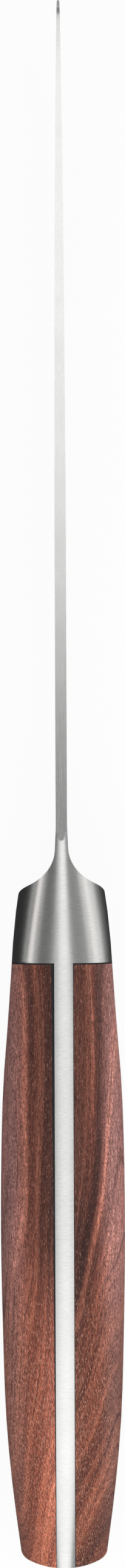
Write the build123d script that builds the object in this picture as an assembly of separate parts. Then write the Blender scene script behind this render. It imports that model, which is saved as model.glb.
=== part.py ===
"""Forged carving knife with a tapered half bolster and riveted wood scales.

The blade, its bolster and the tang are one forging. Two wood scales are bonded to
the tang and held by three cutler's rivets, each a socket half and a pin half. A dark
bond line shows between steel and wood.

Frame: X runs along the knife with the tip at +X, Z is up with the spine on top, and Y
is the thickness. The origin is on the centre plane at the rear end of the ground
spine, where the flat spine runs out into the crowned bolster.
"""
import os
from math import radians, tan

from build123d import *

# Blade
blade_length = 151.8
parallel_length = 58.0
blade_height = 27.5
spine_thickness = 2.04
edge_thickness = 0.36
edge_bevel_height = 0.9

# Front of the blade: place along it, spine thickness, and depth of spine and edge
front_shares = [
    (-0.15, 1.0, 0.0, 1.0),
    (0.0, 1.0, 0.0, 1.0),
    (0.15, 0.945, 0.004, 0.985),
    (0.30, 0.895, 0.015, 0.945),
    (0.45, 0.830, 0.034, 0.877),
    (0.58, 0.745, 0.058, 0.790),
    (0.70, 0.632, 0.086, 0.682),
    (0.80, 0.532, 0.115, 0.570),
    (0.89, 0.425, 0.148, 0.448),
    (0.95, 0.335, 0.178, 0.352),
    (0.985, 0.270, 0.206, 0.285),
    (1.0, 0.200, 0.232, 0.254),
]
tip_bevel_share = 0.35
tip_edge_share = 0.60
front_spans = 32
crowding_share = 1.7

# Heel and finger choil
heel_setback = 7.2
heel_rise = 1.7
choil_radius = 4.6

# Bolster
bolster_length = 22.0
bolster_slant = 14.0
neck_reach = 5.5
neck_inset = 0.03
easing_radius = 108.0
easing_turn = 3.74
cove_radius = 5.65
cove_turn = 83.0
cove_skew = 0.2
root_depth = 8.0
root_overlap = 4.3

# Grip
grip_length = 109.3
grip_width = 22.6
grip_height = 28.0
fullness_share = 0.58
body_spans = 24

# Body sections by place along the bolster: half width, spine line, belly line, flat of the side
bolster_shares = [
    (-0.20, 0.496, 0.0146, -0.786, 0.04),
    (0.00, 0.558, 0.0000, -0.793, 0.05),
    (0.20, 0.624, -0.0150, -0.800, 0.06),
    (0.42, 0.694, -0.0280, -0.807, 0.08),
    (0.62, 0.746, -0.0365, -0.814, 0.11),
    (0.82, 0.784, -0.0420, -0.821, 0.15),
    (1.00, 0.806, -0.0457, -0.832, 0.20),
]

# The same values behind the seam, by place along the grip
grip_shares = [
    (0.10, 0.873, -0.048, -0.868, 0.27),
    (0.20, 0.949, -0.043, -0.921, 0.30),
    (0.30, 0.984, -0.034, -0.971, 0.30),
    (0.45, 0.999, -0.025, -1.007, 0.30),
    (0.60, 0.975, -0.034, -0.979, 0.30),
    (0.75, 0.928, -0.068, -0.939, 0.30),
    (0.87, 0.828, -0.114, -0.971, 0.29),
    (1.02, 0.642, -0.200, -1.107, 0.27),
]

# Butt
butt_radius = 20.0
butt_corner_radius = 2.3
butt_corner_half_width = 7.7
butt_flank_turn = 17.0
butt_straight_depth = 25.0
butt_nose_setback = 5.5
butt_nose_radius = 8.0

# Tang, a little right of the centre plane, and the bond lines on it, seam end first
tang_thickness = 3.38
tang_offset = 0.29
left_bond_thicknesses = (0.55, 0.08)
right_bond_thicknesses = (0.12, 0.12)
seam_thickness = 0.28

# Rivets
rivet_shares = [("front", 0.16), ("middle", 0.47), ("rear", 0.78)]
rivet_head_diameter = 7.0
rivet_tube_diameter = 4.8
rivet_pin_diameter = 3.2
rivet_seat_thickness = 5.0
rivet_end_gap = 1.0
rivet_clearance = 0.05

overrun = 20.0

seam_x = -bolster_length
butt_x = -bolster_length - grip_length
spine_half = spine_thickness / 2
edge_half = edge_thickness / 2
tang_faces = {1: tang_thickness / 2 - tang_offset, -1: tang_thickness / 2 + tang_offset}
bonds = {1: left_bond_thicknesses, -1: right_bond_thicknesses}
slant = tan(radians(bolster_slant))
flank_slope = (spine_half - edge_half) / (blade_height - edge_bevel_height)


def across(x):
    """A plane square to the length at x, with Y to the right and Z up."""
    return Plane(origin=(x, 0, 0), x_dir=(0, 1, 0), z_dir=(1, 0, 0))


def block(x_range, y_range, z_range):
    """A box between two corners."""
    (x0, x1), (y0, y1), (z0, z1) = x_range, y_range, z_range
    centre = ((x0 + x1) / 2, (y0 + y1) / 2, (z0 + z1) / 2)
    return Pos(*centre) * Box(x1 - x0, y1 - y0, z1 - z0)


def blade_section(x, thickness, spine_z, edge_z):
    """The wedge of the blade at x, with its small cutting bevel."""
    height = spine_z - edge_z
    bevel = min(edge_bevel_height, tip_bevel_share * height)
    shoulder = min(edge_half, tip_edge_share * thickness / 2)
    points = [
        (-thickness / 2, spine_z),
        (thickness / 2, spine_z),
        (shoulder, edge_z + bevel),
        (0, edge_z),
        (-shoulder, edge_z + bevel),
    ]
    return across(x) * make_face(Polyline(*points, close=True))


def smooth_row(rows, x):
    """The sizes at x, on smooth curves through rows that each start with their own x."""

    def slope(i, column):
        before, after = rows[max(i - 1, 0)], rows[min(i + 1, len(rows) - 1)]
        return (after[column] - before[column]) / (after[0] - before[0])

    i = max(k for k in range(len(rows) - 1) if k == 0 or rows[k][0] <= x)
    span = rows[i + 1][0] - rows[i][0]
    t = (x - rows[i][0]) / span
    rise = t * t * (3 - 2 * t)
    sizes = []
    for column in range(1, len(rows[i])):
        level = rows[i][column] + rise * (rows[i + 1][column] - rows[i][column])
        bend = (1 - t) * slope(i, column) - t * slope(i + 1, column)
        sizes.append(level + t * (1 - t) * span * bend)
    return sizes


def front_rows():
    """Place, spine thickness, and height of spine and edge, along the front of the blade."""
    front_length = blade_length - parallel_length
    rows = []
    for place, thickness, spine, edge in front_shares:
        x = parallel_length + place * front_length
        rows.append((x, thickness * spine_thickness, -spine * blade_height, -edge * blade_height))
    return rows


def front_blade():
    """The tapering, curving front of the blade, in spans that crowd towards the tip."""
    rows = front_rows()
    sections = []
    for i in range(front_spans + 1):
        left_to_go = (1 - i / front_spans) ** crowding_share
        x = blade_length - left_to_go * (blade_length - parallel_length)
        sections.append(blade_section(x, *smooth_row(rows, x)))
    return loft(sections, ruled=True)


def rear_blade():
    """The parallel rear of the blade, with its heel, choil and the root inside the bolster."""
    rear_x = -heel_setback - choil_radius
    length = parallel_length - rear_x
    wedge = extrude(blade_section(parallel_length, spine_thickness, 0, -blade_height), -length)
    choil_z = -blade_height + heel_rise
    root_x = neck_reach - root_overlap
    outline = Polyline(
        (parallel_length, -blade_height),
        (parallel_length, 0),
        (root_x, 0),
        (root_x - slant * root_depth, -root_depth),
        (rear_x, -root_depth - choil_radius),
        (rear_x, choil_z + choil_radius),
    )
    choil = RadiusArc(outline @ 1, (-heel_setback, choil_z), choil_radius)
    heel = Polyline(choil @ 1, (-heel_setback, -blade_height), outline @ 0)
    profile = make_face(outline + choil + heel)
    return wedge & extrude(Plane.XZ * profile, spine_thickness, both=True)


def body_section(x, half_width, top_z, bottom_z, flat):
    """The oval of bolster and grip at x: four quarter curves and two flat sides."""
    middle_z = (top_z + bottom_z) / 2
    edges = []
    for side in (half_width, -half_width):
        for pole_z, corner_z in ((top_z, middle_z + flat / 2), (bottom_z, middle_z - flat / 2)):
            edges.append(
                Bezier(
                    (0, pole_z),
                    (fullness_share * side, pole_z),
                    (side, corner_z + fullness_share * (pole_z - corner_z)),
                    (side, corner_z),
                )
            )
        edges.append(Line((side, middle_z - flat / 2), (side, middle_z + flat / 2)))
    return across(x) * make_face(edges)


def body_rows():
    """Place, half width, spine line, belly line and flat of the body, from butt to bolster."""
    places = [(-place * bolster_length, *shares) for place, *shares in bolster_shares]
    places += [(seam_x - place * grip_length, *shares) for place, *shares in grip_shares]
    rows = []
    for x, width, top, bottom, flat in reversed(places):
        heights = (top * grip_height, bottom * grip_height, flat * grip_height)
        rows.append((x, width * grip_width / 2, *heights))
    return rows


def body_blank():
    """The outer form that bolster, tang and scales are all ground to."""
    rows = body_rows()
    first, last = rows[0][0], rows[-1][0]
    ovals = []
    for i in range(body_spans + 1):
        x = first + (last - first) * i / body_spans
        ovals.append(body_section(x, *smooth_row(rows, x)))
    return loft(ovals, ruled=True)


def cove_side(skew):
    """Everything inside the left cove, which leans back and runs tangent into the flank."""
    front_x = neck_reach + skew
    easing = JernArc((front_x, spine_half - neck_inset), (-1, 0), easing_radius, -easing_turn)
    cove = JernArc(easing @ 1, easing % 1, cove_radius, -cove_turn)
    shoulder = Line(cove @ 1, cove @ 1 + (cove % 1) * grip_width)
    far_x = butt_x - overrun
    rest = Polyline(
        shoulder @ 1,
        (far_x, (shoulder @ 1).Y),
        (far_x, -grip_width),
        (front_x, -grip_width),
        easing @ 0,
    )
    face = make_face(easing + cove + shoulder + rest)
    return extrude(face, 2 * grip_height, dir=(-slant, -flank_slope, -1))


def butt_plan():
    """The butt's outline seen on the spine: a shallow arc with rounded corners."""
    flank = tan(radians(butt_flank_turn))
    front_x = butt_x + grip_length / 2
    wide = butt_corner_half_width + flank * (front_x - butt_x)
    sag = butt_radius - (butt_radius**2 - butt_corner_half_width**2) ** 0.5
    corner_x = butt_x + sag
    end = ThreePointArc((corner_x, butt_corner_half_width), (butt_x, 0), (corner_x, -butt_corner_half_width))
    sides = Polyline(end @ 1, (front_x, -wide), (overrun, -wide), (overrun, wide), (front_x, wide), end @ 0)
    face = make_face(end + sides)
    corners = face.vertices().sort_by(Axis.X)[:2]
    return extrude(fillet(corners, butt_corner_radius), 2 * grip_height, both=True)


def butt_profile():
    """The butt's outline seen on the side, with its nose set forward below."""
    low_z = -2 * grip_height
    nose_drop = 2 * grip_height - butt_straight_depth
    points = [
        (overrun, overrun),
        (butt_x, overrun),
        (butt_x, -butt_straight_depth),
        (butt_x + butt_nose_setback, low_z + nose_drop / 2),
        (butt_x + 2 * butt_nose_setback, low_z),
        (overrun, low_z),
    ]
    face = make_face(Polyline(*points, close=True))
    nose = face.vertices().sort_by(Axis.X)[:2].sort_by(Axis.Y)[0]
    return extrude(Plane.XZ * fillet(nose, butt_nose_radius), grip_width, both=True)


def grip_side(body, side):
    """The left (1) or right (-1) side of the body that is wood, with its bond line."""
    ys = sorted((side * tang_faces[side], side * grip_width))
    return body & block((butt_x - overrun, seam_x), ys, (-2 * grip_height, grip_height))


def wood_block(side):
    """The space of one scale, behind the seam and outside its tapering bond line."""
    front_y, rear_y = (tang_faces[side] + bond for bond in bonds[side])
    points = [
        (seam_x, front_y),
        (butt_x, rear_y),
        (butt_x - overrun, rear_y),
        (butt_x - overrun, grip_width),
        (seam_x, grip_width),
    ]
    outline = Polyline(*[(x - seam_thickness, side * y) for x, y in points], close=True)
    return extrude(make_face(outline), 2 * grip_height, both=True)


def rivet_seat(side):
    """How far from the centre plane a rivet head sits in one scale."""
    return tang_faces[side] + bonds[side][0] + rivet_seat_thickness


def on_rivet(place):
    """The plane of one rivet, on the centre plane and facing left, midway up the grip."""
    x = seam_x - place * grip_length
    half_width, top_z, bottom_z, flat = smooth_row(body_rows(), x)
    return Plane(origin=(x, 0, (top_z + bottom_z) / 2), x_dir=(1, 0, 0), z_dir=(0, 1, 0))


def rod(place, diameter, y0, y1):
    """A round rod along Y on one rivet's axis."""
    disc = on_rivet(place).offset(y0) * Circle(diameter / 2)
    return extrude(disc, y1 - y0)


def rivet_holes(place):
    """The drilled hole and the two counterbores that one rivet needs."""
    hole = rod(place, rivet_tube_diameter + 2 * rivet_clearance, -grip_width, grip_width)
    for side in (1, -1):
        seat_y = side * rivet_seat(side)
        hole += rod(place, rivet_head_diameter + 2 * rivet_clearance, seat_y, side * grip_width)
    return hole


def rivet_halves(place, body):
    """The socket half from the left and the pin half from the right, ground flush."""
    left_seat = rivet_seat(1)
    right_seat = rivet_seat(-1)
    tube_end = -right_seat + rivet_end_gap
    pin_end = left_seat - rivet_end_gap
    socket = rod(place, rivet_head_diameter, left_seat, grip_width)
    socket += rod(place, rivet_tube_diameter, tube_end, left_seat)
    bore_end = pin_end + rivet_clearance
    socket -= rod(place, rivet_pin_diameter + 2 * rivet_clearance, tube_end, bore_end)
    pin = rod(place, rivet_head_diameter, -grip_width, -right_seat)
    pin += rod(place, rivet_pin_diameter, -right_seat, pin_end)
    return socket & body, pin & body


left_cove = cove_side(-cove_skew)
right_cove = mirror(cove_side(cove_skew), Plane.XZ)
body = body_blank() & left_cove & right_cove & butt_plan() & butt_profile()
holes = [rivet_holes(place) for name, place in rivet_shares]
left = grip_side(body, 1)
right = grip_side(body, -1)
left_wood = wood_block(1)
right_wood = wood_block(-1)

parts = {
    "forged_blade": body - left - right + rear_blade() + front_blade() - holes,
    "left_scale": (left & left_wood) - holes,
    "right_scale": (right & right_wood) - holes,
    "left_bond_line": left - left_wood - holes,
    "right_bond_line": right - right_wood - holes,
}
for name, place in rivet_shares:
    parts[name + "_rivet_socket"], parts[name + "_rivet_pin"] = rivet_halves(place, body)

os.makedirs("parts", exist_ok=True)
for name, solid in parts.items():
    export_step(solid, os.path.join("parts", name + ".step"))
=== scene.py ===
"""The looks of the forged carving knife: brushed steel, riveted wood scales, studio light.

The frame is the knife's own: +X to the tip, +Z up out of the spine, +Y to the knife's left
side. Lamps, floor and camera are in metres. The materials' textures and the guide form are in
millimetres. The camera looks straight down on the spine.
"""
import math

import bpy
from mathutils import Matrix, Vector


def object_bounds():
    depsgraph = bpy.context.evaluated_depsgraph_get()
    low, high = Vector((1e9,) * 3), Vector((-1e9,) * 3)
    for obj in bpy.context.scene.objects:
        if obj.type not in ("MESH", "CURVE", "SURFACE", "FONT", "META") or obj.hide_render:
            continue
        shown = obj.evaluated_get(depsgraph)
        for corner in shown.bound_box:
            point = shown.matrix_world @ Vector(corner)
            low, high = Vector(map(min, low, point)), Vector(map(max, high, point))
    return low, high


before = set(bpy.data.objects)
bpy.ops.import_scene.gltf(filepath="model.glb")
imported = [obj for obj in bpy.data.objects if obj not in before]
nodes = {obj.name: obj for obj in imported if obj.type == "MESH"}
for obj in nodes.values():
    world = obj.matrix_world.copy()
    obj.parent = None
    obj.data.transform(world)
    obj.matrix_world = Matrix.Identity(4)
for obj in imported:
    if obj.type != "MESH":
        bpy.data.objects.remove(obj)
cad_box = [list(corner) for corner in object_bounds()]

MM = 0.001
WHITE = (1.0, 1.0, 1.0)

# The photograph: its size in pixels, the knife's length per pixel, and where the knife lies in it
FRAME_WIDTH = 206
FRAME_HEIGHT = 2576
PIXEL = 0.11 * MM
ORIGIN_ROW = 1381
AXIS_COLUMN = 100.85
ROLL = math.radians(0.235)

# Tip and butt lie a little below the spine, so from this near they would come out short. The
# lens makes up for it
CAMERA_HEIGHT = 1.06
LENS_SHARE = 1.0065
SENSOR = 36.0

# Sizes of the knife that its looks follow, in millimetres
BOLSTER_LENGTH = 22.0
GRIP_LENGTH = 109.3
GRIP_WIDTH = 22.6
GRIP_HEIGHT = 28.0
TANG_THICKNESS = 3.38
TANG_OFFSET = 0.29

# The least and the most that a noise texture usually gives
NOISE_SPAN = (0.3, 0.7)


def opaque(colour):
    """A colour as its socket takes it. A socket stays as it is."""
    return colour if isinstance(colour, bpy.types.NodeSocket) else (*colour, 1.0)


class Tree:
    """A node tree with short ways to add and join nodes."""

    def __init__(self, tree):
        self.tree = tree

    def feed(self, node, inputs):
        """Gives a node's inputs, by name or number, their values or the sockets that feed them."""
        for key, value in inputs.items():
            if isinstance(value, bpy.types.NodeSocket):
                self.tree.links.new(value, node.inputs[key])
            else:
                node.inputs[key].default_value = value

    def add(self, kind, inputs=None, **settings):
        node = self.tree.nodes.new(kind)
        for key, value in settings.items():
            setattr(node, key, value)
        self.feed(node, inputs or {})
        return node


class Shading(Tree):
    """The node tree of a material or a world."""

    def __init__(self, owner, output="ShaderNodeOutputMaterial"):
        owner.use_nodes = True
        super().__init__(owner.node_tree)
        self.tree.nodes.clear()
        self.owner = owner
        self.output = self.add(output)

    def show(self, surface):
        """Joins a shader to the output, and gives back the material or world."""
        self.feed(self.output, {0: surface})
        return self.owner

    def math(self, operation, a, b=0.0):
        return self.add("ShaderNodeMath", {0: a, 1: b}, operation=operation).outputs[0]

    def plus(self, a, b):
        return self.math("ADD", a, b)

    def times(self, a, b):
        return self.math("MULTIPLY", a, b)

    def split(self, vector):
        return self.add("ShaderNodeSeparateXYZ", {0: vector}).outputs[:]

    def combine(self, x, y, z):
        return self.add("ShaderNodeCombineXYZ", {0: x, 1: y, 2: z}).outputs[0]

    def point(self):
        """The point on the knife, in millimetres."""
        coordinates = self.add("ShaderNodeTexCoord").outputs["Object"]
        inputs = {0: coordinates, "Scale": 1.0 / MM}
        return self.add("ShaderNodeVectorMath", inputs, operation="SCALE").outputs[0]

    def noise(self, vector, scale=1.0, detail=2.0, roughness=0.5):
        inputs = {"Vector": vector, "Scale": scale, "Detail": detail, "Roughness": roughness}
        return self.add("ShaderNodeTexNoise", inputs).outputs["Fac"]

    def strokes(self, spot, cells, detail, roughness=0.5):
        """Noise drawn out along one way: cells per millimetre along and across the knife."""
        x, y, z = spot
        along, across = cells
        vector = self.combine(self.times(x, along), self.times(y, across), self.times(z, across))
        return self.noise(vector, detail=detail, roughness=roughness)

    def range(self, value, low, high, to_low=0.0, to_high=1.0, smooth=False):
        inputs = {"Value": value, "From Min": low, "From Max": high, "To Min": to_low, "To Max": to_high}
        interpolation = "SMOOTHSTEP" if smooth else "LINEAR"
        return self.add("ShaderNodeMapRange", inputs, interpolation_type=interpolation).outputs[0]

    def spread(self, noise, low, high):
        """Takes a noise from its usual least and most to these two values."""
        return self.range(noise, *NOISE_SPAN, low, high)

    def ramp(self, value, stops):
        node = self.add("ShaderNodeValToRGB", {0: value})
        elements = node.color_ramp.elements
        while len(elements) < len(stops):
            elements.new(1.0)
        for element, (place, colour) in zip(elements, stops):
            element.position = place
            element.color = opaque(colour)
        return node.outputs[0]

    def mix(self, factor, a, b, blend="MIX"):
        inputs = {"Factor": factor, 6: opaque(a), 7: opaque(b)}
        return self.add("ShaderNodeMix", inputs, data_type="RGBA", blend_type=blend).outputs[2]

    def toned(self, colour, tone):
        """One colour times another."""
        return self.mix(1.0, colour, tone, "MULTIPLY")

    def bump(self, height, distance):
        inputs = {"Height": height, "Distance": distance, "Strength": 1.0}
        return self.add("ShaderNodeBump", inputs).outputs[0]

    def glow(self, strength):
        return self.add("ShaderNodeEmission", {"Color": opaque(WHITE), "Strength": strength}).outputs[0]

    def blend(self, factor, a, b):
        """One shader turning into another."""
        return self.add("ShaderNodeMixShader", {0: factor, 1: a, 2: b}).outputs[0]

    def principled(self, inputs):
        """A Principled shader with these inputs, as the surface."""
        return self.show(self.add("ShaderNodeBsdfPrincipled", inputs).outputs[0])


# Brushed steel, with strokes in cells per millimetre along and across the knife
LONG_STROKES = (0.12, 14.0)
CROSS_STROKES = (14.0, 0.9)
CLOUD_CELLS = 0.12
STEEL_SHADES = (0.55, 0.73)
CLOUD_SHADES = (-0.02, 0.02)
STEEL_BLUE_SHARE = 0.985
STEEL_ROUGHNESS = (0.30, 0.38)
SPINE_POLISH = 0.10
STEEL_STRETCH = 0.75
STROKE_DEPTH = 0.004 * MM

# Where each zone of the steel begins and where it is full: the flat spine by height, its tongue,
# the blade and the flank by place along the knife, and the spine by how level it lies
FLAT_Z = (-0.012, -0.004)
TONGUE_X = (-0.3, 0.0)
BLADE_X = (7.0, 9.0)
FLANK_X = (5.0, 7.0)
LEVEL_SHARES = (0.93, 0.97)

# The ground edge along the seam, beside the tang: its width, how far off the tang it begins and
# is full, and its height as the bump counts it
EDGE_WIDTH = 0.2
EDGE_FROM_TANG = (0.06, 0.16)
EDGE_HEIGHT = -14.0


def steel_material():
    """Satin steel, stroked lengthwise on spine and flanks, and around the bolster and tang."""
    graph = Shading(bpy.data.materials.new("brushed_steel"))
    point = graph.point()
    spot = graph.split(point)
    x, y, z = spot
    normal = graph.add("ShaderNodeNewGeometry").outputs["Normal"]
    level = graph.range(graph.split(normal)[2], *LEVEL_SHARES)
    tongue = graph.times(graph.range(z, *FLAT_Z), graph.range(x, *TONGUE_X))
    spine = graph.times(graph.math("MAXIMUM", tongue, graph.range(x, *BLADE_X)), level)
    not_spine = graph.math("SUBTRACT", 1.0, spine)
    flank = graph.times(graph.range(x, *FLANK_X), not_spine)
    turned = graph.math("SUBTRACT", not_spine, flank)

    along = graph.strokes(spot, LONG_STROKES, detail=3.0, roughness=0.6)
    around = graph.strokes(spot, CROSS_STROKES, detail=3.0, roughness=0.6)
    grain = graph.plus(graph.times(along, graph.plus(spine, flank)), graph.times(around, turned))
    cloud = graph.noise(point, scale=CLOUD_CELLS)
    shade = graph.plus(graph.spread(grain, *STEEL_SHADES), graph.spread(cloud, *CLOUD_SHADES))
    parts = {0: shade, 1: shade, 2: graph.times(shade, STEEL_BLUE_SHARE)}
    rough = graph.spread(grain, *STEEL_ROUGHNESS)

    from_tang = graph.math("ABSOLUTE", graph.plus(y, TANG_OFFSET))
    edge_start, edge_full = (TANG_THICKNESS / 2 + gap for gap in EDGE_FROM_TANG)
    beside_tang = graph.range(from_tang, edge_start, edge_full)
    seam = graph.range(x, -BOLSTER_LENGTH, -BOLSTER_LENGTH + EDGE_WIDTH, EDGE_HEIGHT, 0.0)
    height = graph.plus(grain, graph.times(seam, beside_tang))
    return graph.principled({
        "Metallic": 1.0,
        "Anisotropic": STEEL_STRETCH,
        "Tangent": graph.combine(turned, spine, flank),
        "Base Color": graph.add("ShaderNodeCombineColor", parts).outputs[0],
        "Roughness": graph.plus(rough, graph.times(spine, -SPINE_POLISH)),
        "Normal": graph.bump(height, STROKE_DEPTH),
    })


# The wood's layers, counted in millimetres outwards from the middle: where they begin to bow,
# how they lean and how they wander
BOW_START = 40.0
LAYER_LEAN = 0.25
WARP_CELLS = (0.022, 0.10)
WARP_REACH = 0.9

# The wood's colours: its figure by band, the paler outer zone of painted sheen, the tones' places
# across the grip (tones partly painted sheen and shade), the tints in front and at the rear, and the dark
# lines
FIGURE_CELLS = 0.010
BAND_CELLS = 0.50
BAND_COLOURS = [
    (0.30, (0.085, 0.030, 0.022)),
    (0.41, (0.150, 0.050, 0.034)),
    (0.50, (0.225, 0.076, 0.048)),
    (0.58, (0.340, 0.122, 0.074)),
    (0.70, (0.350, 0.165, 0.130)),
]
# Painted sheen: towards the flank the wood's colour turns to a pale mauve
OUTER_SHEEN_ZONE = (5.5, 9.5)
OUTER_SHEEN_SHARE = 0.55
OUTER_SHEEN_COLOUR = (0.225, 0.135, 0.122)
# The tones across the grip are partly the wood's own tone, partly painted sheen and shade
TONE_WIDTH = 12.0
TONE_SHARES = (0.22, 0.46, 0.68)
TONE_WANDER = 1.0
REAR_X = (-98.0, -68.0)
FRONT_TINT = (1.0, 0.91, 0.94)
REAR_TINT = (1.05, 0.88, 0.81)
LINE_CELLS = 2.6
LINE_SLICE = 5.0
LINE_SPAN = (0.58, 0.70)
LINE_SHARE = 0.55
LINE_COLOUR = (0.050, 0.018, 0.018)

# The wood's fine grain: fibres, short hatching that grows outwards, dark pores and pale flecks
FIBRE_STROKES = (0.40, 9.0)
FIBRE_TONES = [(0.36, (0.48, 0.44, 0.44)), (0.50, WHITE), (0.66, (1.75, 1.84, 1.90))]
HATCH_STROKES = (2.4, 8.0)
HATCH_TONES = [(0.36, (0.46, 0.44, 0.45)), (0.50, WHITE), (0.64, (1.70, 1.72, 1.72))]
HATCH_ZONE = (3.0, 8.0)
HATCH_SHARES = (0.35, 0.95)
PORE_STROKES = (1.8, 14.0)
PORE_SPAN = (0.58, 0.66)
PORE_SHARE = 0.70
PORE_COLOUR = (0.045, 0.015, 0.013)
FLECK_STROKES = (1.4, 11.0)
FLECK_SLICE = 37.0
FLECK_ZONE = (3.0, 9.0)
FLECK_THINNING = 0.035
FLECK_STARTS = (0.63, 0.575)
FLECK_FULL = 0.70
FLECK_SHARES = (0.35, 0.75)
FLECK_COLOUR = (0.78, 0.42, 0.30)
WOOD_ROUGHNESS = (0.42, 0.56)
WOOD_GLOSS = 0.3
FIBRE_HEIGHT_SHARE = 0.4
GRAIN_DEPTH = 0.03 * MM


def wood_layer(graph, spot, out, seed, sweep):
    """Which of the wood's layers a point lies in. The layers bow towards the butt."""
    x, y, z = spot
    rear = graph.math("MAXIMUM", graph.math("SUBTRACT", -BOW_START, x), 0.0)
    bow = graph.times(graph.times(rear, rear), sweep)
    warp = graph.strokes(spot, WARP_CELLS, detail=1.0)
    layer = graph.plus(graph.plus(out, bow), graph.times(z, LAYER_LEAN))
    return graph.plus(layer, graph.spread(warp, seed - WARP_REACH, seed + WARP_REACH))


def wood_figure(graph, x, out, layer, to_rear, tone_rows):
    """The broad colours: bands along the layers, painted sheen in the outer zone, toned by zone with partly
    painted sheen and shade, and dark lines.
    """
    slow = graph.times(x, FIGURE_CELLS)
    band = graph.noise(graph.combine(slow, layer, 0.0), scale=BAND_CELLS, detail=4.0, roughness=0.62)
    # Painted sheen on the grip's outer zone
    outer = graph.range(out, *OUTER_SHEEN_ZONE, 0.0, OUTER_SHEEN_SHARE, smooth=True)
    colour = graph.mix(outer, graph.ramp(band, BAND_COLOURS), OUTER_SHEEN_COLOUR)
    # Tones across the grip: the wood's own tone with painted sheen and shade of the rounded grip
    across = graph.plus(out, graph.spread(band, -TONE_WANDER, TONE_WANDER))
    across = graph.math("DIVIDE", across, TONE_WIDTH)
    front, rear = (
        graph.ramp(across, [(place, (tone, tone, tone)) for place, tone in zip(TONE_SHARES, row)])
        for row in tone_rows
    )
    colour = graph.toned(colour, graph.mix(to_rear, front, rear))
    colour = graph.toned(colour, graph.mix(to_rear, FRONT_TINT, REAR_TINT))
    lines = graph.noise(graph.combine(slow, layer, LINE_SLICE), scale=LINE_CELLS)
    return graph.mix(graph.range(lines, *LINE_SPAN, 0.0, LINE_SHARE, smooth=True), colour, LINE_COLOUR)


def wood_grain(graph, spot, out, to_rear, colour, fibre, dark):
    """The fine grain, laid over the broad colours."""
    x, y, z = spot
    colour = graph.toned(colour, graph.ramp(fibre, FIBRE_TONES))
    hatch = graph.strokes(spot, HATCH_STROKES, detail=2.0, roughness=0.6)
    hatched = graph.toned(colour, graph.ramp(hatch, HATCH_TONES))
    colour = graph.mix(graph.range(out, *HATCH_ZONE, *HATCH_SHARES), colour, hatched)
    colour = graph.mix(graph.times(dark, PORE_SHARE), colour, PORE_COLOUR)
    flecks = graph.strokes((x, graph.plus(y, FLECK_SLICE), z), FLECK_STROKES, detail=1.0)
    flecks = graph.math("SUBTRACT", flecks, graph.range(out, *FLECK_ZONE, 0.0, FLECK_THINNING))
    start = graph.range(to_rear, 0.0, 1.0, *FLECK_STARTS)
    pale = graph.range(flecks, start, FLECK_FULL, smooth=True)
    return graph.mix(graph.times(pale, graph.range(to_rear, 0.0, 1.0, *FLECK_SHARES)), colour, FLECK_COLOUR)


def wood_material(name, side, seed, sweep, front_tones, rear_tones):
    """Oiled wood whose layers bow inwards (positive sweep) or outwards towards the butt. The
    tones are its lightness near the tang, midway and at the flank, in front and at the rear,
    partly the wood's own tone and partly painted sheen and shade across the rounded grip."""
    graph = Shading(bpy.data.materials.new(name))
    spot = graph.split(graph.point())
    x, y, z = spot
    out = graph.times(y, side)
    to_rear = graph.range(x, *REAR_X, 1.0, 0.0, smooth=True)
    layer = wood_layer(graph, spot, out, seed, sweep)
    colour = wood_figure(graph, x, out, layer, to_rear, (front_tones, rear_tones))
    fibre = graph.strokes(spot, FIBRE_STROKES, detail=3.0, roughness=0.75)
    dark = graph.range(graph.strokes(spot, PORE_STROKES, detail=1.0), *PORE_SPAN, smooth=True)
    height = graph.math("SUBTRACT", graph.times(fibre, FIBRE_HEIGHT_SHARE), dark)
    return graph.principled({
        "Base Color": wood_grain(graph, spot, out, to_rear, colour, fibre, dark),
        "Roughness": graph.spread(fibre, *WOOD_ROUGHNESS),
        "Specular IOR Level": WOOD_GLOSS,
        "Normal": graph.bump(height, GRAIN_DEPTH),
    })


# The dark resin of the bond lines
SPECK_CELLS = 3.0
RESIN_COLOURS = [(0.3, (0.008, 0.008, 0.010)), (0.7, (0.022, 0.021, 0.024))]
RESIN_ROUGHNESS = (0.5, 0.7)
RESIN_GLOSS = 0.25


def bond_material():
    """Near-black resin, ground flush."""
    graph = Shading(bpy.data.materials.new("dark_bond"))
    speck = graph.noise(graph.point(), scale=SPECK_CELLS)
    return graph.principled({
        "Base Color": graph.ramp(speck, RESIN_COLOURS),
        "Roughness": graph.spread(speck, *RESIN_ROUGHNESS),
        "Specular IOR Level": RESIN_GLOSS,
    })


# The rivets' steel, stroked lengthwise as they are ground with the scales
RIVET_STROKES = (0.4, 9.0)
RIVET_COLOURS = [(0.3, (0.52, 0.52, 0.51)), (0.7, (0.68, 0.68, 0.67))]
RIVET_ROUGHNESS = (0.24, 0.34)


def rivet_material():
    """Satin steel of the rivets' heads."""
    graph = Shading(bpy.data.materials.new("rivet_steel"))
    grain = graph.strokes(graph.split(graph.point()), RIVET_STROKES, detail=3.0, roughness=0.6)
    return graph.principled({
        "Metallic": 1.0,
        "Base Color": graph.ramp(grain, RIVET_COLOURS),
        "Roughness": graph.spread(grain, *RIVET_ROUGHNESS),
        "Normal": graph.bump(grain, STROKE_DEPTH),
    })


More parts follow.
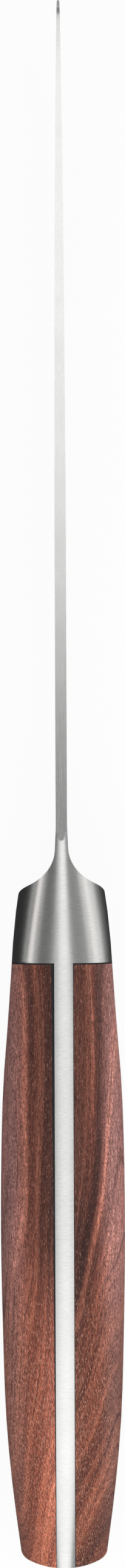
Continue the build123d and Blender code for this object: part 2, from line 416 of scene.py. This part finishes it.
# The ground outer form: place along bolster or grip, then width, spine line, belly line and flat
# of the side as shares of the grip's width and height
FULLNESS_SHARE = 0.58
BOLSTER_SHARES = [
    (-0.20, 0.496, 0.0146, -0.786, 0.04),
    (0.00, 0.558, 0.0000, -0.793, 0.05),
    (0.20, 0.624, -0.0150, -0.800, 0.06),
    (0.42, 0.694, -0.0280, -0.807, 0.08),
    (0.62, 0.746, -0.0365, -0.814, 0.11),
    (0.82, 0.784, -0.0420, -0.821, 0.15),
    (1.00, 0.806, -0.0457, -0.832, 0.20),
]
GRIP_SHARES = [
    (0.10, 0.873, -0.048, -0.868, 0.27),
    (0.20, 0.949, -0.043, -0.921, 0.30),
    (0.30, 0.984, -0.034, -0.971, 0.30),
    (0.45, 0.999, -0.025, -1.007, 0.30),
    (0.60, 0.975, -0.034, -0.979, 0.30),
    (0.75, 0.928, -0.068, -0.939, 0.30),
    (0.87, 0.828, -0.114, -0.971, 0.29),
    (1.02, 0.642, -0.200, -1.107, 0.27),
]
GUIDE_STATIONS = 180
GUIDE_STEPS = 16


def smooth_row(rows, x):
    """The sizes at x, on smooth curves through rows that each start with their own x."""

    def slope(i, column):
        before, after = rows[max(i - 1, 0)], rows[min(i + 1, len(rows) - 1)]
        return (after[column] - before[column]) / (after[0] - before[0])

    i = max(k for k in range(len(rows) - 1) if k == 0 or rows[k][0] <= x)
    span = rows[i + 1][0] - rows[i][0]
    t = (x - rows[i][0]) / span
    rise = t * t * (3 - 2 * t)
    sizes = []
    for column in range(1, len(rows[i])):
        level = rows[i][column] + rise * (rows[i + 1][column] - rows[i][column])
        bend = (1 - t) * slope(i, column) - t * slope(i + 1, column)
        sizes.append(level + t * (1 - t) * span * bend)
    return sizes


def oval(half_width, top, bottom, flat):
    """Points round one section: quarter curves with a flat at each side, in order."""
    middle = (top + bottom) / 2

    def quarter(side, pole, corner, forward):
        points = []
        for k in range(GUIDE_STEPS + 1):
            t = k / GUIDE_STEPS if forward else 1 - k / GUIDE_STEPS
            u = 3 * (1 - t) ** 2 * t * FULLNESS_SHARE + 3 * (1 - t) * t**2 + t**3
            v = (1 - t) ** 3 + 3 * (1 - t) ** 2 * t + 3 * (1 - t) * t**2 * FULLNESS_SHARE
            points.append((side * half_width * u, corner + (pole - corner) * v))
        return points

    high, low = middle + flat / 2, middle - flat / 2
    ring = quarter(1, top, high, True) + quarter(1, bottom, low, False)
    ring += quarter(-1, bottom, low, True)[1:] + quarter(-1, top, high, False)[:-1]
    return ring


def guide_form():
    """A fine, unshown copy of the ground outer form, whose normals even out the frame's facets."""
    places = [(-place * BOLSTER_LENGTH, *shares) for place, *shares in BOLSTER_SHARES]
    places += [(-BOLSTER_LENGTH - place * GRIP_LENGTH, *shares) for place, *shares in GRIP_SHARES]
    rows = []
    for x, width, *heights in reversed(places):
        rows.append((x, width * GRIP_WIDTH / 2, *(share * GRIP_HEIGHT for share in heights)))
    points, faces = [], []
    for i in range(GUIDE_STATIONS + 1):
        x = rows[0][0] + (rows[-1][0] - rows[0][0]) * i / GUIDE_STATIONS
        ring = oval(*smooth_row(rows, x))
        points += [(x * MM, y * MM, z * MM) for y, z in ring]
    count = len(ring)
    for i in range(GUIDE_STATIONS):
        near, far = i * count, (i + 1) * count
        for k in range(count):
            following = (k + 1) % count
            faces.append((near + k, far + k, far + following, near + following))
    mesh = bpy.data.meshes.new("guide_form")
    mesh.from_pydata(points, [], faces)
    mesh.shade_smooth()
    form = bpy.data.objects.new("guide_form", mesh)
    form.hide_render = True
    bpy.context.scene.collection.objects.link(form)
    return form


class Fields(Tree):
    """The tree of a geometry node group."""

    def less(self, value, limit):
        return self.add("FunctionNodeCompare", {0: value, 1: limit}, operation="LESS_THAN").outputs[0]

    def more(self, value, limit):
        return self.add("FunctionNodeCompare", {0: value, 1: limit}, operation="GREATER_THAN").outputs[0]

    def both(self, a, b):
        return self.add("FunctionNodeBooleanMath", {0: a, 1: b}, operation="AND").outputs[0]

    def measure(self, operation, a, b):
        return self.add("ShaderNodeVectorMath", {0: a, 1: b}, operation=operation).outputs["Value"]

    def split(self, vector):
        return self.add("ShaderNodeSeparateXYZ", {0: vector}).outputs

    def on_faces(self, value):
        settings = {"domain": "FACE", "data_type": "FLOAT_VECTOR"}
        return self.add("GeometryNodeFieldOnDomain", {0: value}, **settings).outputs[0]

    def nearest(self, mesh, value):
        """What a value is at the nearest point of a mesh."""
        inputs = {"Mesh": mesh, "Value": value}
        return self.add("GeometryNodeSampleNearestSurface", inputs, data_type="FLOAT_VECTOR").outputs[0]

    def choose(self, test, no, yes):
        inputs = {"Switch": test, "False": no, "True": yes}
        return self.add("GeometryNodeSwitch", inputs, input_type="VECTOR").outputs[0]


# How the guide's normals are given out: the angle of a real edge, how near a face lies to the
# guide and how far it may turn from it, where the flat spine ends and where the flanks begin
SHARP_ANGLE = math.radians(24.0)
SAME_FORM = math.cos(math.radians(26.0))
GUIDE_REACH = 0.45 * MM
FLAT_SPINE_Z = -0.002 * MM
FLANK_FACES_X = 6.5 * MM
FLANK_NORMAL_Z = 0.5
BLADE_SPLITS = 2
WELD_REACH = 0.001 * MM


def smoothing_group(guide, splits):
    """A node group that gives a mesh even normals, and cuts its faces finer in place. Faces on
    the guide's form take the guide's normals. The flat spine and the blade's flanks stay flat.
    The rest is smooth between its real edges."""
    fields = Fields(bpy.data.node_groups.new("smooth_ground_form", "GeometryNodeTree"))
    for way in ("INPUT", "OUTPUT"):
        fields.tree.interface.new_socket("Geometry", in_out=way, socket_type="NodeSocketGeometry")
    start = fields.add("NodeGroupInput").outputs[0]
    faces = fields.add("GeometryNodeSetShadeSmooth", {0: start}).outputs[0]
    angle = fields.add("GeometryNodeInputMeshEdgeAngle").outputs[0]
    inputs = {0: faces, "Shade Smooth": fields.less(angle, SHARP_ANGLE)}
    edges = fields.add("GeometryNodeSetShadeSmooth", inputs, domain="EDGE").outputs[0]

    # The mesh's own normals are kept before its faces are cut
    own = fields.add("GeometryNodeInputNormal").outputs
    kept = fields.add("GeometryNodeCaptureAttribute", domain="CORNER")
    kept.capture_items.new("VECTOR", "normal")
    fields.feed(kept, {0: edges, 1: own["Normal"]})
    cut = fields.add("GeometryNodeSubdivideMesh", {0: kept.outputs[0], "Level": splits}).outputs[0]

    place = fields.add("GeometryNodeInputPosition").outputs[0]
    form = fields.add("GeometryNodeObjectInfo", {0: guide}, transform_space="ORIGINAL").outputs["Geometry"]
    guide_normal = fields.nearest(form, own["Normal"])
    face_normal = fields.on_faces(own["True Normal"])
    agreeing = fields.more(fields.measure("DOT_PRODUCT", guide_normal, face_normal), SAME_FORM)
    touching = fields.less(fields.measure("DISTANCE", fields.nearest(form, place), place), GUIDE_REACH)
    middle = fields.split(fields.on_faces(place))
    below_spine = fields.less(middle["Z"], FLAT_SPINE_Z)
    upright = fields.less(fields.split(face_normal)["Z"], FLANK_NORMAL_Z)
    on_flank = fields.both(fields.more(middle["X"], FLANK_FACES_X), upright)
    on_guide = fields.both(fields.both(agreeing, touching), below_spine)

    normal = fields.choose(below_spine, face_normal, kept.outputs[1])
    normal = fields.choose(on_flank, normal, face_normal)
    normal = fields.choose(on_guide, normal, guide_normal)
    inputs = {0: cut, "Custom Normal": normal}
    shaded = fields.add("GeometryNodeSetMeshNormal", inputs, mode="FREE", domain="CORNER").outputs[0]
    fields.add("NodeGroupOutput", {0: shaded})
    return fields.tree


def smooth_shading(piece, group):
    """Welds the mesh and gives it even normals. Its shape stays."""
    weld = piece.modifiers.new("weld", "WELD")
    weld.merge_threshold = WELD_REACH
    piece.modifiers.new("smooth", "NODES").node_group = group


def dress(piece, material):
    """Gives a piece one material."""
    piece.data.materials.clear()
    piece.data.materials.append(material)


guide = guide_form()
coarse = smoothing_group(guide, 0)
fine = smoothing_group(guide, BLADE_SPLITS)

# Each scale's wood: side, where its layers start, how they bow, and its tones, which are partly painted
# sheen and shade
WOODS = [
    ("left", 1, 3.0, -0.0006, (0.38, 0.66, 1.40), (1.85, 1.35, 1.15)),
    ("right", -1, 11.0, 0.0027, (0.34, 0.78, 2.10), (0.78, 0.92, 1.15)),
]

smooth_shading(nodes["forged_blade"], fine)
dress(nodes["forged_blade"], steel_material())
bond = bond_material()
rivet = rivet_material()
for side_name, side, *figure in WOODS:
    scale = nodes[side_name + "_scale"]
    smooth_shading(scale, coarse)
    dress(scale, wood_material(side_name + "_wood", side, *figure))
    dress(nodes[side_name + "_bond_line"], bond)
for name, piece in nodes.items():
    if "rivet" in name:
        smooth_shading(piece, coarse)
        dress(piece, rivet)


# The floor under the knife
FLOOR_COLOUR = (0.9, 0.9, 0.9)
FLOOR_WHITE_SHARE = 0.93
FLOOR_Z = cad_box[0][2] - 0.5 * MM
FLOOR_REACH = 60.0

# A black card beside the knife gives the bolster's flank dark to mirror: where it begins to thin
# out and is gone, to the right, to the left and in front. Only the steel and other glossy
# surfaces see it
CARD_RIGHT = (0.010, 0.12)
CARD_LEFT = (0.6, 1.2)
CARD_FRONT = (0.010, 0.035)
CARD_GLOW = 0.035
CARD_REACH = 3.0
CARD_Z = FLOOR_Z + 0.2 * MM


def plane(name, low, high, z):
    """A flat horizontal sheet between two corners."""
    mesh = bpy.data.meshes.new(name)
    corners = [(low[0], low[1], z), (high[0], low[1], z), (high[0], high[1], z), (low[0], high[1], z)]
    mesh.from_pydata(corners, [], [(0, 1, 2, 3)])
    sheet = bpy.data.objects.new(name, mesh)
    bpy.context.scene.collection.objects.link(sheet)
    return sheet


def floor_material():
    """A pale floor, white to the camera and in the steel, that keeps a soft shadow."""
    graph = Shading(bpy.data.materials.new("pale_floor"))
    rays = graph.add("ShaderNodeLightPath").outputs
    seen = graph.math("MAXIMUM", rays["Is Camera Ray"], rays["Is Transmission Ray"])
    seen = graph.math("MAXIMUM", seen, rays["Is Glossy Ray"])
    pale = graph.add("ShaderNodeBsdfDiffuse", {"Color": opaque(FLOOR_COLOUR)}).outputs[0]
    return graph.show(graph.blend(graph.times(seen, FLOOR_WHITE_SHARE), pale, graph.glow(1.0)))


def card_material():
    """Black card that thins out at its edges, so that its mirror image ends softly."""
    graph = Shading(bpy.data.materials.new("black_card"))
    x, y, z = graph.split(graph.add("ShaderNodeNewGeometry").outputs["Position"])
    right = graph.range(y, -CARD_RIGHT[1], -CARD_RIGHT[0], 1.0, 0.0, smooth=True)
    left = graph.range(y, *CARD_LEFT, smooth=True)
    front = graph.range(x, *CARD_FRONT, smooth=True)
    gone = graph.math("MAXIMUM", graph.plus(right, left), front)
    clear = graph.add("ShaderNodeBsdfTransparent").outputs[0]
    return graph.show(graph.blend(gone, graph.glow(CARD_GLOW), clear))


floor = plane("floor", (-FLOOR_REACH, -FLOOR_REACH), (FLOOR_REACH, FLOOR_REACH), FLOOR_Z)
dress(floor, floor_material())
card = plane("black_card", (-CARD_REACH, -CARD_RIGHT[1]), (CARD_REACH, CARD_LEFT[1]), CARD_Z)
dress(card, card_material())
card.visible_camera = False
card.visible_diffuse = False
card.visible_transmission = False
card.visible_shadow = False


# Soft boxes that lie flat above the knife: places along X, middle and width across it, and
# radiance
OVERHEAD_Z = 0.62
OVERHEAD_BOXES = [
    ("front_soft_box", (0.042, 0.085), -0.03, 0.24, 1.3),
    ("front_box", (0.085, 0.165), -0.03, 0.24, 1.4),
    ("middle_box", (0.165, 0.40), -0.03, 0.24, 1.62),
    ("far_box", (0.40, 0.60), -0.03, 0.24, 1.35),
    ("rear_box", (-0.10, -0.054), -0.05, 0.20, 1.15),
    ("neck_box", (-0.21, -0.10), -0.055, 0.22, 1.15),
    ("butt_box", (-0.60, -0.21), -0.01, 0.42, 1.95),
]

# Soft boxes beside the knife: side, elevation and height in degrees as seen from it, radiance
# and colour
SIDE_REACH = 0.75
SIDE_LENGTH = 1.4
SIDE_AIM = (0.0, 0.0, -0.01)
WARM = (1.0, 0.96, 0.94)
SIDE_BOXES = [
    ("left_box", 1, 17.0, 14.0, 1.3, WARM),
    ("left_fill", 1, 31.0, 14.0, 0.32, WHITE),
    ("right_box", -1, 8.0, 16.0, 0.95, WARM),
    ("right_fill", -1, 24.0, 16.0, 0.45, WHITE),
]

# A lamp for the wood alone, which does not show in the steel
WOOD_LIGHT_AT = (-0.20, 0.0, 0.30)
WOOD_LIGHT_AIM = (-0.09, 0.0, 0.0)
WOOD_LIGHT_SIZE = (0.25, 0.25)
WOOD_LIGHT_RADIANCE = 2.6

# The room around: its light on the knife's right and on its left
ROOM_LIGHT = (0.42, 0.145)


def panel(name, centre, aim, size, radiance):
    """A soft box: its radiance is what a mirror would show, so its power follows its area. Its
    first size runs along X."""
    data = bpy.data.lights.new(name, "AREA")
    data.shape = "RECTANGLE"
    data.size, data.size_y = size
    data.energy = radiance * math.pi * size[0] * size[1]
    lamp = bpy.data.objects.new(name, data)
    lamp.location = centre
    lamp.rotation_mode = "QUATERNION"
    lamp.rotation_quaternion = (Vector(aim) - Vector(centre)).to_track_quat("-Z", "Y")
    lamp.visible_camera = False
    bpy.context.scene.collection.objects.link(lamp)
    return lamp


def studio_world():
    """White to the camera. It lights the knife as a dim room does. The steel shows that room
    above the horizon, and white below it."""
    graph = Shading(bpy.data.worlds.new("studio"), "ShaderNodeOutputWorld")
    x, y, z = graph.split(graph.add("ShaderNodeTexCoord").outputs["Generated"])
    room = graph.range(y, -1.0, 1.0, *ROOM_LIGHT)
    rays = graph.add("ShaderNodeLightPath").outputs
    mirrored = graph.math("MAXIMUM", rays["Is Glossy Ray"], rays["Is Transmission Ray"])
    below = graph.times(mirrored, graph.math("LESS_THAN", z, 0.0))
    white = graph.math("MAXIMUM", rays["Is Camera Ray"], below)
    inputs = {"Color": opaque(WHITE), "Strength": graph.math("MAXIMUM", room, white)}
    return graph.show(graph.add("ShaderNodeBackground", inputs).outputs[0])


for name, (rear_x, front_x), y, width, radiance in OVERHEAD_BOXES:
    x = (rear_x + front_x) / 2
    panel(name, (x, y, OVERHEAD_Z), (x, y, 0.0), (front_x - rear_x, width), radiance)
for name, side, elevation, height, radiance, colour in SIDE_BOXES:
    a = math.radians(elevation)
    centre = (0.0, side * SIDE_REACH * math.cos(a), SIDE_REACH * math.sin(a))
    size = (SIDE_LENGTH, 2 * SIDE_REACH * math.tan(math.radians(height / 2)))
    panel(name, centre, SIDE_AIM, size, radiance).data.color = colour
wood_light = panel("wood_light", WOOD_LIGHT_AT, WOOD_LIGHT_AIM, WOOD_LIGHT_SIZE, WOOD_LIGHT_RADIANCE)
wood_light.visible_glossy = False

scene = bpy.context.scene
scene.world = studio_world()
scene.view_settings.view_transform = "Standard"

camera_data = bpy.data.cameras.new("camera")
camera_data.sensor_width = SENSOR
camera_data.lens = LENS_SHARE * SENSOR * CAMERA_HEIGHT / (FRAME_HEIGHT * PIXEL)
camera = bpy.data.objects.new("camera", camera_data)
camera.location = (
    (ORIGIN_ROW - FRAME_HEIGHT / 2) * PIXEL,
    (AXIS_COLUMN - FRAME_WIDTH / 2) * PIXEL,
    CAMERA_HEIGHT,
)
camera.rotation_euler = (0.0, 0.0, -math.pi / 2 - ROLL)
scene.collection.objects.link(camera)
scene.camera = camera
